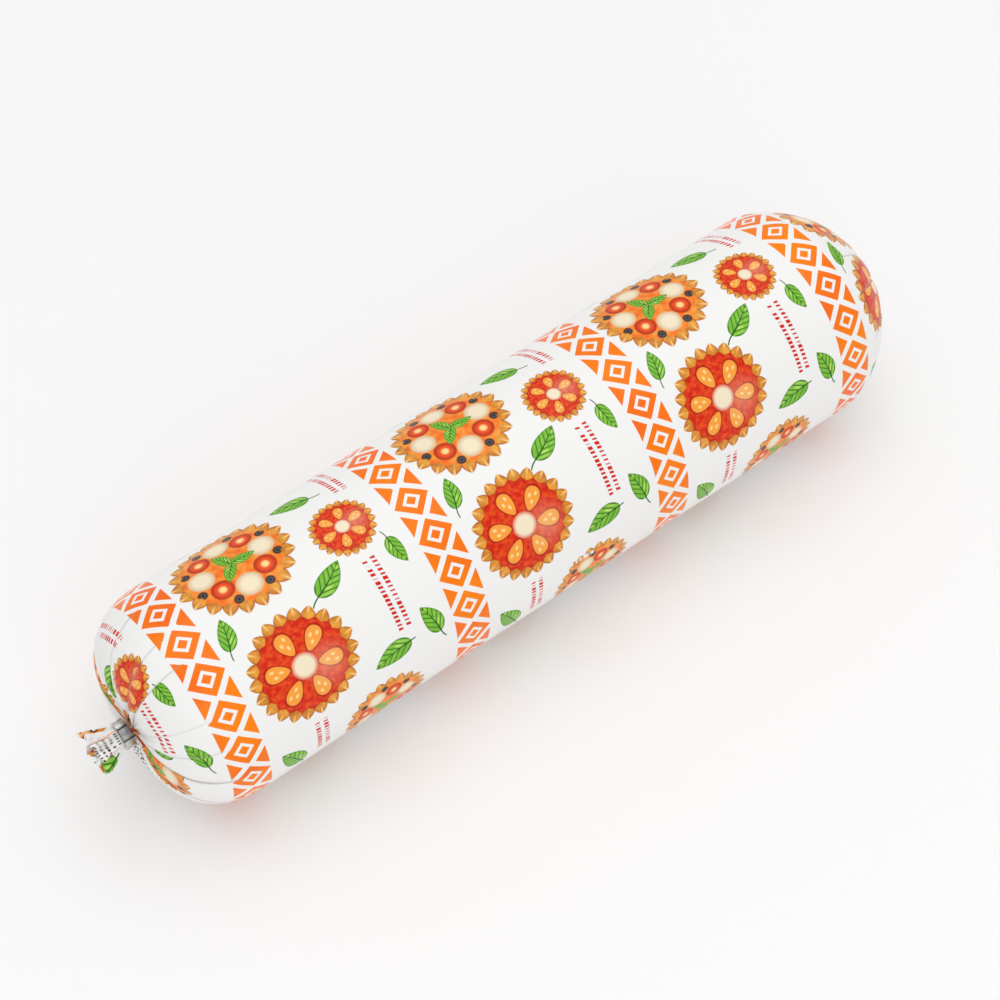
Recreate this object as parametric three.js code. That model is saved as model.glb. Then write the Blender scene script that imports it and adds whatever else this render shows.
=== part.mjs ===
// A loaf of mozzarella in a plastic film casing, gathered and clipped at both ends.
// Millimetres. +X runs from the front clip to the back clip, +Z is up, and the origin
// is on the ground below the middle of the loaf's whole length.
import * as THREE from 'three';

// The loaf, as it lies
const OVERALL_LENGTH = 389.2; // tip of one tail to tip of the other
const GIRTH_RADIUS = 45.2; // at the middle of the straight body
const TAPER = 0.0101; // growth of the radius for each millimetre along the loaf
const REST_DEPTH = 0.8; // how far the underside is pressed flat by the weight

// The two gathered ends. reach: from the clip's middle to where the straight body begins.
// crown: how far the rounded end stands beyond the clip's middle. blunt: how square the end is.
// side and sag: how far the clip lies off the loaf's axis, towards +Y and down.
// tail: its length beyond the clip's middle. flare: half its width. flat: its thickness to its
// width. droop: how far its end hangs down.
const FRONT = {
  sign: -1, reach: 30.3, crown: -1.9, bluntAxial: 2.0, bluntRadial: 3.5, side: 1.3, sag: 1.9,
  pleats: 16, pleatDepth: 1.5, phase: 0.5, tail: 14.3, flare: 10.4, flat: 0.5, droop: 1.0, lobes: 7,
};
const BACK = {
  sign: 1, reach: 38.4, crown: 1.4, bluntAxial: 1.6, bluntRadial: 1.95, side: -0.9, sag: 0.8,
  pleats: 16, pleatDepth: 1.3, phase: 1.9, tail: 9.5, flare: 7.0, flat: 0.6, droop: 6.5, lobes: 6,
};
const PLEAT_SPREAD = 0.2; // how uneven the pleats' widths are, as a share of a pleat
const WIDTH_WAVE = 2.4; // the widths go up and down by this many radians from pleat to pleat
const DEPTH_WAVE = 5.1; // and the depths by this many
const SHALLOWEST_PLEAT = 0.3; // as a share of the deepest one
const PLEAT_ROUNDNESS = 0.7; // below 1 the film between two creases is fuller than a half sine
const PLEATS_BEGIN = 0.1; // how far down the rounded end the pleats start, as a share
const PLEATS_FULL = 0.8; // and where they are at their deepest
const PLEATS_FULL_RADIUS = 14; // the pleats fade out from here to the neck
const NECK_RADIUS = 3.0; // the bunched film inside a clip
const NECK_GROOVE = 0.3; // the depth of its folds
const NECK_DEPTH = 3.3; // from the clip's middle to where the film fans out
const DIMPLE_RADIUS = 22; // the film starts to sink towards the neck inside this radius
const DRAWN_RADIUS = 36; // and is drawn off the loaf's axis inside this one

// The tails' edges: how much is cut away in the valleys between lobes and on the short side
const TAIL_VALLEY = 0.45;
const TAIL_SHORT = 0.3;
const TAIL_LIP = 0.6; // the open end is dished from its edge to this share of it
const TAIL_DISH = 0.4; // and down to this share of the tail's length
const TAIL_BEND = 1.5; // above 1 the tail hangs down more and more towards its end
const SHORT_SIDE_TURN = 3.4; // where the short side lies, for each radian of the end's phase

// The clips: an aluminium strip crimped round each neck, with a raised block where it closes
const CLIP_WIDTH = 4.0; // along the loaf
const CLIP_SPAN = 11.4;
const CLIP_HEIGHT = 8.4;
const CLIP_CORNER = 3.4;
const CLIP_STEP = 1.0; // the raised block
const CLIP_STEP_SPAN = 4.4;
const CLIP_STEP_SLOPE = 0.3;
const CLIP_TURN = THREE.MathUtils.degToRad(33); // the raised block leans to the loaf's -Y side
const CLEARANCE = 0.35; // between a clip and the film in it

// How finely the surface is divided
const RING_SPACING = 0.85; // below 1 the rings are closer together near the neck
const SLOPE_STEP = 0.01; // radians between two points whose line gives the slope
const CORNER_STEPS = 8;
const STEPS_PER_PLEAT = 5;
const DOME_STEPS = 12;
const DIMPLE_STEPS = 3;
const TAIL_STEPS = 5;
const BODY_STEPS = 6;

const FRONT_CLIP_X = -OVERALL_LENGTH / 2 + FRONT.tail;
const BACK_CLIP_X = OVERALL_LENGTH / 2 - BACK.tail;
const MID_BODY_X = (FRONT_CLIP_X + FRONT.reach + BACK_CLIP_X - BACK.reach) / 2;

const { cos, sin, PI, abs, max, min } = Math;
const radiusAt = (x) => GIRTH_RADIUS + TAPER * (x - MID_BODY_X);
const axisHeightAt = (x) => radiusAt(x) - REST_DEPTH;
const smooth = (low, high, value) => {
  const t = min(1, max(0, (value - low) / (high - low)));
  return t * t * (3 - 2 * t);
};

// Angles round the loaf, from +Y upwards. The pleats are of uneven width, and every
// pleat has the same number of steps, so that a vertex lies in each crease.
function ringAngles(end) {
  const angles = [];
  const edge = (k) => {
    const uneven = PLEAT_SPREAD * sin(WIDTH_WAVE * (k % end.pleats) + end.phase);
    return (2 * PI / end.pleats) * (k + uneven);
  };
  for (let pleat = 0; pleat < end.pleats; pleat += 1) {
    const start = edge(pleat);
    const width = (pleat === end.pleats - 1 ? edge(0) + 2 * PI : edge(pleat + 1)) - start;
    for (let step = 0; step < STEPS_PER_PLEAT; step += 1) {
      const within = step / STEPS_PER_PLEAT;
      const shallow = 0.5 + 0.5 * sin(DEPTH_WAVE * pleat + 2 * end.phase);
      const crease = 1 - (1 - SHALLOWEST_PLEAT) * shallow;
      const puff = sin(PI * within) ** PLEAT_ROUNDNESS;
      angles.push({ angle: start + width * within, puff, crease });
    }
  }
  return angles;
}

// The middle of the clip, off the loaf's axis.
function clipPlace(end, clipX) {
  const axisHeight = axisHeightAt(clipX - end.sign * end.reach);
  return new THREE.Vector3(clipX, end.side, axisHeight - end.sag);
}

// One ring of the surface: each point is pushed in along the slope's normal at the creases.
function pleatedRing(end, angles, clipX, along, radius, normal, depth) {
  const clip = clipPlace(end, clipX);
  const drawn = 1 - smooth(NECK_RADIUS, DRAWN_RADIUS, radius);
  const middleY = clip.y * drawn;
  const middleZ = clip.z + end.sag * (1 - drawn);
  return angles.map(({ angle, puff, crease }) => {
    const push = depth * crease * (1 - puff);
    const r = radius - push * normal.y;
    const x = clipX - end.sign * (along + push * normal.x);
    return new THREE.Vector3(x, middleY + r * cos(angle), max(0, middleZ + r * sin(angle)));
  });
}

// The rounded end from the straight body to the neck, as rings.
function endRings(end, clipX) {
  const angles = ringAngles(end);
  const shoulder = radiusAt(clipX - end.sign * end.reach);
  const depthOfEnd = end.reach + end.crown;
  const profile = (beta) => {
    const radius = shoulder * cos(beta) ** (2 / end.bluntRadial);
    const sink = (end.crown + NECK_DEPTH) * (1 - smooth(NECK_RADIUS, DIMPLE_RADIUS, radius));
    const along = end.reach - depthOfEnd * sin(beta) ** (2 / end.bluntAxial) + sink;
    return { radius, along };
  };
  const rings = [];
  const steps = DOME_STEPS + DIMPLE_STEPS;
  const last = Math.acos((NECK_RADIUS / shoulder) ** (end.bluntRadial / 2));
  for (let k = 0; k < steps; k += 1) {
    const share = k / steps;
    const beta = last * share ** RING_SPACING;
    const here = profile(beta);
    const next = profile(min(last, beta + SLOPE_STEP));
    const slope = new THREE.Vector2(here.radius - next.radius, here.along - next.along).normalize();
    const fade = smooth(PLEATS_BEGIN, PLEATS_FULL, share) * min(1, here.radius / PLEATS_FULL_RADIUS);
    const depth = end.pleatDepth * fade;
    rings.push(pleatedRing(end, angles, clipX, here.along, here.radius, slope, depth));
  }
  const straight = new THREE.Vector2(0, 1);
  for (const along of [NECK_DEPTH, -CLIP_WIDTH / 2 - CLEARANCE]) {
    rings.push(pleatedRing(end, angles, clipX, along, NECK_RADIUS, straight, NECK_GROOVE));
  }
  return rings;
}

// The crumpled tail of film beyond the clip: a flattened fan, as rings, and the bottom of its
// open end.
function tailRings(end, clipX) {
  const angles = ringAngles(end);
  const root = CLIP_WIDTH / 2 + CLEARANCE;
  const clip = clipPlace(end, clipX);
  const point = (angle, out, share) => {
    const lobe = 1 - TAIL_VALLEY * (1 - abs(sin((end.lobes * angle) / 2 + end.phase)));
    const uneven = 0.5 + 0.5 * cos(angle - SHORT_SIDE_TURN * end.phase);
    const length = (end.tail - root) * (1 - TAIL_SHORT * uneven * out);
    const radius = NECK_RADIUS + (end.flare - NECK_RADIUS) * out * lobe;
    const across = radius * share * cos(angle);
    const through = radius * share * sin(angle) * (1 - (1 - end.flat) * out);
    const droop = end.droop * out ** TAIL_BEND;
    return new THREE.Vector3(
      clipX + end.sign * (root + length * out * share),
      clip.y + across * cos(CLIP_TURN) - through * sin(CLIP_TURN),
      clip.z + across * sin(CLIP_TURN) + through * cos(CLIP_TURN) - droop,
    );
  };
  const rings = [];
  for (let k = 1; k <= TAIL_STEPS; k += 1) {
    rings.push(angles.map(({ angle }) => point(angle, k / TAIL_STEPS, 1)));
  }
  rings.push(angles.map(({ angle }) => point(angle, 1, TAIL_LIP)));
  const bottom = clipX + end.sign * (root + TAIL_DISH * (end.tail - root));
  return { rings, tip: new THREE.Vector3(bottom, clip.y, clip.z - end.droop) };
}

// The straight body between the two ends. Its angles go over from one end's to the other's.
function bodyRings() {
  const from = ringAngles(FRONT);
  const to = ringAngles(BACK);
  const startX = FRONT_CLIP_X + FRONT.reach;
  const endX = BACK_CLIP_X - BACK.reach;
  const rings = [];
  for (let k = 1; k < BODY_STEPS; k += 1) {
    const share = k / BODY_STEPS;
    const x = startX + (endX - startX) * share;
    rings.push(from.map(({ angle }, i) => {
      const here = angle + (to[i].angle - angle) * share;
      const z = axisHeightAt(x) + radiusAt(x) * sin(here);
      return new THREE.Vector3(x, radiusAt(x) * cos(here), max(0, z));
    }));
  }
  return rings;
}

// Closes a row of rings into one solid, with a point at each end.
function solidFromRings(rings, firstTip, lastTip) {
  const count = rings[0].length;
  const points = [...rings.flat(), firstTip, lastTip];
  const places = points.flatMap((p) => [p.x, p.y, p.z]);
  const faces = [];
  for (let ring = 0; ring + 1 < rings.length; ring += 1) {
    for (let i = 0; i < count; i += 1) {
      const j = (i + 1) % count;
      const [a, b] = [ring * count + i, ring * count + j];
      const [c, d] = [a + count, b + count];
      faces.push(a, b, c, b, d, c);
    }
  }
  const lastRing = (rings.length - 1) * count;
  for (let i = 0; i < count; i += 1) {
    const j = (i + 1) % count;
    faces.push(points.length - 2, j, i);
    faces.push(points.length - 1, lastRing + i, lastRing + j);
  }
  const geometry = new THREE.BufferGeometry();
  geometry.setAttribute('position', new THREE.Float32BufferAttribute(places, 3));
  geometry.setIndex(faces);
  geometry.computeVertexNormals();
  return geometry;
}

function casingGeometry() {
  const frontTail = tailRings(FRONT, FRONT_CLIP_X);
  const backTail = tailRings(BACK, BACK_CLIP_X);
  const rings = [
    ...frontTail.rings.reverse(),
    ...endRings(FRONT, FRONT_CLIP_X).reverse(),
    ...bodyRings(),
    ...endRings(BACK, BACK_CLIP_X),
    ...backTail.rings,
  ];
  return solidFromRings(rings, frontTail.tip, backTail.tip);
}

// A crimped clip: a rounded ring with a raised block on top and a round hole for the neck.
function clipGeometry() {
  const half = CLIP_SPAN / 2;
  const top = CLIP_HEIGHT / 2;
  const step = CLIP_STEP_SPAN / 2;
  const outline = new THREE.Shape();
  outline.moveTo(-half + CLIP_CORNER, -top);
  outline.lineTo(half - CLIP_CORNER, -top);
  outline.absarc(half - CLIP_CORNER, -top + CLIP_CORNER, CLIP_CORNER, -PI / 2, 0);
  outline.lineTo(half, top - CLIP_CORNER);
  outline.absarc(half - CLIP_CORNER, top - CLIP_CORNER, CLIP_CORNER, 0, PI / 2);
  outline.lineTo(step + CLIP_STEP_SLOPE, top);
  outline.lineTo(step, top + CLIP_STEP);
  outline.lineTo(-step, top + CLIP_STEP);
  outline.lineTo(-step - CLIP_STEP_SLOPE, top);
  outline.lineTo(-half + CLIP_CORNER, top);
  outline.absarc(-half + CLIP_CORNER, top - CLIP_CORNER, CLIP_CORNER, PI / 2, PI);
  outline.lineTo(-half, -top + CLIP_CORNER);
  outline.absarc(-half + CLIP_CORNER, -top + CLIP_CORNER, CLIP_CORNER, PI, 1.5 * PI);
  const hole = new THREE.Path();
  hole.absarc(0, 0, NECK_RADIUS + CLEARANCE, 0, 2 * PI, true);
  outline.holes.push(hole);
  const thickness = { depth: CLIP_WIDTH, bevelEnabled: false, curveSegments: CORNER_STEPS };
  const geometry = new THREE.ExtrudeGeometry(outline, thickness);
  geometry.translate(0, 0, -CLIP_WIDTH / 2);
  geometry.rotateZ(CLIP_TURN);
  // the outline's plane is stood across the loaf: outline X along +Y, outline Y up
  geometry.applyMatrix4(new THREE.Matrix4().makeBasis(
    new THREE.Vector3(0, 1, 0), new THREE.Vector3(0, 0, 1), new THREE.Vector3(1, 0, 0)));
  return geometry;
}

const film = new THREE.MeshStandardMaterial({ color: 0xf4f1ee, roughness: 0.35, metalness: 0 });
const aluminium = new THREE.MeshStandardMaterial({ color: 0xb9b7b2, roughness: 0.35, metalness: 1 });

const loaf = new THREE.Group();

const casing = new THREE.Mesh(casingGeometry(), film);
casing.name = 'casing';
loaf.add(casing);

for (const [name, end, x] of [['clip_front', FRONT, FRONT_CLIP_X], ['clip_back', BACK, BACK_CLIP_X]]) {
  const clip = new THREE.Mesh(clipGeometry(), aluminium);
  clip.name = name;
  clip.position.copy(clipPlace(end, x));
  loaf.add(clip);
}

export default loaf;
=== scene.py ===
import math

import bmesh
import bpy
import numpy as np
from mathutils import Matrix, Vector


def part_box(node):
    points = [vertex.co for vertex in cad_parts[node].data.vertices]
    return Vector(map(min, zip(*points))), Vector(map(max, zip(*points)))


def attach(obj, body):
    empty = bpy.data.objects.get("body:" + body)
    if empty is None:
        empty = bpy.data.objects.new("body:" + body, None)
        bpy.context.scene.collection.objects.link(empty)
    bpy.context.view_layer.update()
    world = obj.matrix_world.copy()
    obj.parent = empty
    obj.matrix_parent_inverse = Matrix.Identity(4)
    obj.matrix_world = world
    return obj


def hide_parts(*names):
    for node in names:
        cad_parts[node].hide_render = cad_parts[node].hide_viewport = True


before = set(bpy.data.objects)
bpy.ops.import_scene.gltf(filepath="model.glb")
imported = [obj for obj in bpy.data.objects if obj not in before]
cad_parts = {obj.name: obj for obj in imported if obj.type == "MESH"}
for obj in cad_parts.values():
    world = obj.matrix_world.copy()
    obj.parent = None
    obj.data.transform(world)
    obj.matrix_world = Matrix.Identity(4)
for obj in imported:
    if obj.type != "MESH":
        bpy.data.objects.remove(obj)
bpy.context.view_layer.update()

# A loaf of mozzarella in a printed white film, pleated and clipped at both ends.
# Metres. +X runs from the front clip to the back clip, +Z is up.

MM = 0.001

# ---------------------------------------------------------------- the loaf's own sizes
GIRTH_RADIUS = 45.2 * MM
TAPER = 0.0101
REST_DEPTH = 0.8 * MM
NECK_RADIUS = 3.0 * MM
NECK_OVAL = (1.42, 0.8)  # the clip squeezes the neck wide and flat
NECK_DEPTH = 3.3 * MM
DIMPLE_RADIUS = 22 * MM
DRAWN_RADIUS = 36 * MM

# An end: reach is from the clip's middle to the straight body, crown is how far the rounded
# end stands beyond the clip's middle, and blunt is how square the end is. side and sag are how
# far the clip lies off the loaf's axis. smooth_to is how much the end narrows before its
# creases start, and pucker is the depth of the faint folds before them. tail, flare, flat and
# droop shape the fan of film.
FRONT = {
    "sign": -1, "clip": "clip_front", "reach": 30.3 * MM, "crown": -1.9 * MM,
    "blunt_axial": 2.0, "blunt_radial": 3.5, "side": 1.3 * MM, "sag": 1.9 * MM,
    "pleats": 16, "pleat_depth": 1.5 * MM, "phase": 0.5, "smooth_to": 0.015, "pucker": 0.1 * MM,
    "tail": 14.3 * MM, "flare": 10.4 * MM, "flat": 0.5, "droop": -0.6 * MM, "seed": 11,
}
BACK = {
    "sign": 1, "clip": "clip_back", "reach": 38.4 * MM, "crown": 1.4 * MM,
    "blunt_axial": 1.6, "blunt_radial": 1.95, "side": -0.9 * MM, "sag": 0.8 * MM,
    "pleats": 16, "pleat_depth": 1.3 * MM, "phase": 1.9, "smooth_to": 0.06, "pucker": 0.3 * MM,
    "tail": 9.5 * MM, "flare": 7.0 * MM, "flat": 0.6, "droop": 6.5 * MM, "seed": 12,
}
CLIP_WIDTH = 4.0 * MM
CLIP_SPAN = 11.4 * MM
CLIP_HEIGHT = 8.4 * MM
CLIP_CORNER = 3.4 * MM
CLIP_STEP = 1.0 * MM
CLIP_STEP_SPAN = 4.4 * MM
CLIP_TURN = math.radians(33)
for end in (FRONT, BACK):
    low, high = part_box(end["clip"])
    end["x"] = (low[0] + high[0]) / 2
    end["shoulder_x"] = end["x"] - end["sign"] * end["reach"]
MID_BODY_X = (FRONT["shoulder_x"] + BACK["shoulder_x"]) / 2

# The film's print repeats along the loaf and twice round it.
PRINT_PERIOD = 99.02 * MM
BAND_START = 36.5 * MM  # where one band of the print begins, along the loaf
AROUND = 2 * math.pi * GIRTH_RADIUS

# The pleats: their places and their fullness are the solid's
PLEAT_SPREAD = 0.2  # how uneven the pleats' widths are, as a share of a pleat
WIDTH_WAVE = 2.4  # the widths go up and down by this many radians from pleat to pleat
DEPTH_WAVE = 5.1  # and the depths by this many
MIDDLE_DEPTH = 0.72  # of a pleat, as a share of the deepest one
DEPTH_SPREAD = 0.28
PLEAT_ROUNDNESS = 0.7  # below 1 the film between two creases is fuller than a half sine
PLEATS_FULL_RADIUS = 14 * MM  # they fade out from here to the neck

# The film's low relief. A growth says how early a fold starts and over how much narrowing of
# the loaf's end it grows to its full depth, both as shares of the straight body's radius.
END_OVERLAP = 8 * MM  # an end's folds may reach this far onto the straight body
PLEAT_GROWTH = (0.02, 0.8)
LAP_GROWTH = (0.012, 0.16)  # a lap: each panel's edge lies on the next one's
LAP_WIDTH = 1.5 * MM
LAP_DEPTH = 0.55 * MM
LAPS_FULL_RADIUS = 9 * MM
LINE_GROWTH = (0.01, 0.05)  # a line: the shade painted along a crease
LINE_WIDTH = 0.5 * MM
GATHERS = 19  # small folds in each half turn round a neck
GATHER_WAVES = (13, 21, 34)  # waves round the neck that make them uneven
GATHER_WEIGHTS = (0.6, 1.0)  # from the least to the most
GATHER_SPREAD = 1.1  # and how uneven
GATHER_DEPTH = 0.9 * MM
GATHER_PAINTED_SHADE = 0.55  # the shade painted in their valleys, as a share of a crease's painted shade
SLACK_WAVE = 38 * MM  # the length of the broad shallow waves all over the film
SLACK_DEPTH = 0.5 * MM
SWIRLS = ((0.1, 3, 1), (0.06, 7, 2))  # how the creases wind: radians, waves round, phases
SWIRL_GROWTH = 1.3  # above 1 they wind more and more towards the neck
PRINT_HINGE = 0.4  # where across a panel the print keeps its place
# Where folds grow and fade: there are none at the first value, and they are full at the second
GATHERS_GROW = (26 * MM, 8 * MM)  # by the radius
GATHERS_FADE = (2.6 * MM, 6 * MM)
PUCKERS_GROW = (0.02, 0.09)  # by how much the end narrows
PUCKERS_FADE = (0.3, 0.12)
SLACK_GROWS = (0.03, 0.6)

# How finely the film is divided
FILM_STEPS = 480
DOME_RINGS = 64
BODY_RINGS = 26
RING_SPACING = 0.8  # below 1 the rings are closer together near the neck


def radius_at(x):
    return GIRTH_RADIUS + TAPER * (x - MID_BODY_X)


def axis_height(x):
    """Height of the loaf's axis: its underside lies level although the girth grows."""
    return radius_at(np.clip(x, FRONT["shoulder_x"], BACK["shoulder_x"])) - REST_DEPTH


def smooth(low, high, value):
    share = np.clip((value - low) / (high - low), 0, 1)
    return share * share * (3 - 2 * share)


# ---------------------------------------------------------------- modelling by hand
def only(piece):
    bpy.ops.object.select_all(action="DESELECT")
    piece.select_set(True)
    bpy.context.view_layer.objects.active = piece


def edit(piece):
    only(piece)
    bpy.ops.object.mode_set(mode="EDIT")


def done():
    bpy.ops.object.mode_set(mode="OBJECT")


def start_vertex(name, place):
    """A new piece of a single vertex, in edit mode."""
    bpy.ops.object.select_all(action="DESELECT")
    bpy.ops.mesh.primitive_plane_add(size=MM)
    piece = bpy.context.object
    piece.name = piece.data.name = name
    bpy.ops.object.mode_set(mode="EDIT")
    bpy.ops.mesh.select_all(action="SELECT")
    bpy.ops.mesh.merge(type="CENTER")
    bpy.ops.transform.translate(value=place)
    return piece


def draw_line(name, places):
    """A piece that is a line of edges through the places, left in edit mode."""
    piece = start_vertex(name, places[0])
    for here, there in zip(places, places[1:]):
        step = tuple(b - a for a, b in zip(here, there))
        bpy.ops.mesh.extrude_vertices_move(TRANSFORM_OT_translate={"value": step})
    bpy.ops.mesh.select_all(action="SELECT")
    return piece


def spin_film(name, profile, steps):
    """A surface spun round the X axis from a profile of (x, radius)."""
    piece = draw_line(name, [(x, 0, radius) for x, radius in profile])
    bpy.ops.mesh.spin(steps=steps, angle=2 * math.pi, center=(0, 0, 0), axis=(1, 0, 0))
    bpy.ops.mesh.select_all(action="SELECT")
    bpy.ops.mesh.remove_doubles(threshold=0.002 * MM)
    bpy.ops.mesh.normals_make_consistent(inside=False)
    done()
    return piece


def apply_modifiers(piece):
    only(piece)
    for modifier in list(piece.modifiers):
        bpy.ops.object.modifier_apply(modifier=modifier.name)


LEAST_WEIGHT = 0.002


def press(piece, name, weights, depth, texture=None):
    """Moves the surface along its normals, by depth times each vertex's weight."""
    group = piece.vertex_groups.new(name=name)
    for index in np.flatnonzero(np.abs(weights) > LEAST_WEIGHT):
        group.add([int(index)], float(weights[index]), "REPLACE")
    modifier = piece.modifiers.new(name, "DISPLACE")
    modifier.vertex_group = name
    modifier.strength = depth
    modifier.mid_level = 0.5 if texture else 0
    modifier.texture = texture
    modifier.texture_coords = "LOCAL"
    apply_modifiers(piece)
    piece.vertex_groups.clear()


def clouds(name, size, depth=2):
    texture = bpy.data.textures.new(name, "CLOUDS")
    texture.noise_scale = size
    texture.noise_depth = depth
    return texture


def places_of(piece):
    flat = np.empty(len(piece.data.vertices) * 3)
    piece.data.vertices.foreach_get("co", flat)
    return flat.reshape(-1, 3)


def set_places(piece, places):
    piece.data.vertices.foreach_set("co", places.astype(np.float32).ravel())
    piece.data.update()


# ---------------------------------------------------------------- the filled film
def end_profile(end, count):
    """(x, radius) from the straight body to the neck inside the clip."""
    shoulder = radius_at(end["shoulder_x"])
    last = math.acos((NECK_RADIUS / shoulder) ** (end["blunt_radial"] / 2))
    points = []
    for k in range(count + 1):
        beta = last * (k / count) ** RING_SPACING
        radius = shoulder * math.cos(beta) ** (2 / end["blunt_radial"])
        sink = (end["crown"] + NECK_DEPTH) * (1 - smooth(NECK_RADIUS, DIMPLE_RADIUS, radius))
        depth = (end["reach"] + end["crown"]) * math.sin(beta) ** (2 / end["blunt_axial"])
        points.append((end["shoulder_x"] + end["sign"] * (depth - sink), radius))
    points.append((end["x"], NECK_RADIUS))
    points.append((end["x"], 0))
    return points


def film_profile():
    body = [
        (x, radius_at(x))
        for x in np.linspace(FRONT["shoulder_x"], BACK["shoulder_x"], BODY_RINGS)[1:-1]
    ]
    front = end_profile(FRONT, DOME_RINGS)
    back = end_profile(BACK, DOME_RINGS)
    return [*reversed(front), *body, *back]


def crease_angles(end):
    k = np.arange(end["pleats"] + 1)
    uneven = PLEAT_SPREAD * np.sin(WIDTH_WAVE * (k % end["pleats"]) + end["phase"])
    return (2 * math.pi / end["pleats"]) * (k + uneven)


def panels_of(end, angle):
    """For each angle round the end: the panel's number, and the place across it from 0 to 1."""
    edges = crease_angles(end)
    turned = (angle - edges[0]) % (2 * math.pi) + edges[0]
    panel = np.clip(np.searchsorted(edges, turned, side="right") - 1, 0, end["pleats"] - 1)
    across = (turned - edges[panel]) / (edges[panel + 1] - edges[panel])
    return panel, across


def film_lengths(profile):
    """Distance along the film at each profile point, equal to x in the straight body."""
    points = np.array(profile)
    steps = np.hypot(*np.diff(points, axis=0).T)
    lengths = np.concatenate([[0], np.cumsum(steps)])
    middle = np.argmin(np.abs(points[:, 0] - MID_BODY_X))
    return lengths - lengths[middle] + points[middle, 0]


def mark(piece, name, values):
    """Keeps a value at each vertex, for the materials."""
    layer = piece.data.attributes.new(name, "FLOAT", "POINT")
    layer.data.foreach_set("value", values.astype(np.float32))


def nearest_on(profile, x, radius):
    """The number of the profile's point that each vertex was spun from."""
    table = np.array(profile)
    nearest = np.empty(len(x), int)
    for part in np.array_split(np.arange(len(x)), 20):  # in parts, to save memory
        gap = (x[part, None] - table[:, 0]) ** 2 + (radius[part, None] - table[:, 1]) ** 2
        nearest[part] = np.argmin(gap, axis=1)
    return nearest


def lay_print(casing, x, radius, angle, along):
    """The film's own coordinates, across it and along it. On the rounded ends every panel
    keeps the print's true size, and the rest is folded under the next panel."""
    mesh = casing.data
    corner = np.empty(len(mesh.loops), int)
    mesh.loops.foreach_get("vertex_index", corner)
    starts = np.array([face.loop_start for face in mesh.polygons])
    sizes = np.array([face.loop_total for face in mesh.polygons])
    face_of = np.repeat(np.arange(len(sizes)), sizes)
    unit = np.exp(1j * angle)
    centre = np.angle(np.add.reduceat(unit[corner], starts))
    corner_angle = centre[face_of] + np.angle(unit[corner] / np.exp(1j * centre[face_of]))
    film = np.zeros((len(corner), 2))
    straight = (x[corner] > FRONT["shoulder_x"]) & (x[corner] < BACK["shoulder_x"])
    for end in (FRONT, BACK):
        edges = crease_angles(end)
        panel, _ = panels_of(end, centre)
        hinge = (1 - PRINT_HINGE) * edges[panel] + PRINT_HINGE * edges[panel + 1]
        hinge = hinge[face_of]
        turned = hinge + np.angle(np.exp(1j * (corner_angle - hinge)))
        share = np.minimum(radius[corner] / radius_at(end["shoulder_x"]), 1)
        share = np.where(straight, 1, share)
        here = (x[corner] - MID_BODY_X) * end["sign"] >= 0
        film[here, 0] = (hinge + (turned - hinge) * share)[here] * GIRTH_RADIUS
    film[:, 1] = along[corner]
    layer = mesh.uv_layers.new(name="film")
    layer.data.foreach_set("uv", film.ravel())


def gathers_at(end, angle):
    """Uneven small folds round a neck, from 0 on their crests to 1 in their valleys."""
    rng = np.random.default_rng(end["seed"])
    wave = 0
    for folds in GATHER_WAVES:
        start = rng.uniform(0, 2 * math.pi)
        wave = wave + np.sin(folds * angle + start) * rng.uniform(*GATHER_WEIGHTS)
    return 1 - np.abs(np.cos(wave * GATHER_SPREAD + GATHERS * angle))


def grown(past, growth):
    """How far a fold has grown where the end is past its smooth start by that much."""
    early, over = growth
    return smooth(0, over, past + early)


def crease_end(casing, end, side, angle, radius, narrow):
    """Presses one end's folds in, and returns how much shade to paint on each vertex, along a crease
    or in a gather's valley.
    """
    panel, across = panels_of(end, angle)
    strength = MIDDLE_DEPTH + DEPTH_SPREAD * np.sin(DEPTH_WAVE * panel + 2 * end["phase"])
    past = narrow - end["smooth_to"]
    # puffed panels between creases that deepen towards the neck
    depth = grown(past, PLEAT_GROWTH) * np.minimum(1, radius / PLEATS_FULL_RADIUS)
    puff = np.sin(math.pi * across) ** PLEAT_ROUNDNESS
    press(casing, "panels", side * depth * strength * (1 - puff), -end["pleat_depth"])
    # each panel's edge lies on the next one's
    from_crease = across * (2 * math.pi / end["pleats"]) * radius
    lap = np.exp(-((from_crease / LAP_WIDTH) ** 2))
    reach = grown(past, LAP_GROWTH) * np.minimum(1, radius / LAPS_FULL_RADIUS)
    press(casing, "laps", side * lap * reach * strength, -LAP_DEPTH)
    # small gathers near the neck
    gathers = gathers_at(end, angle)
    near = smooth(*GATHERS_GROW, radius) * smooth(*GATHERS_FADE, radius)
    press(casing, "gathers", side * near * gathers, -GATHER_DEPTH)
    # and short faint puckers where the straight body ends
    start = smooth(*PUCKERS_GROW, narrow) * smooth(*PUCKERS_FADE, narrow)
    press(casing, "puckers", side * start * gathers_at(end, angle + 1), -end["pucker"])
    # painted shade: a thin dark line along each crease, and darkening in the gathers' valleys
    line = np.exp(-((from_crease / LINE_WIDTH) ** 2)) * grown(past, LINE_GROWTH)
    return np.maximum(line * strength, GATHER_PAINTED_SHADE * near * gathers ** 2)


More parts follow.
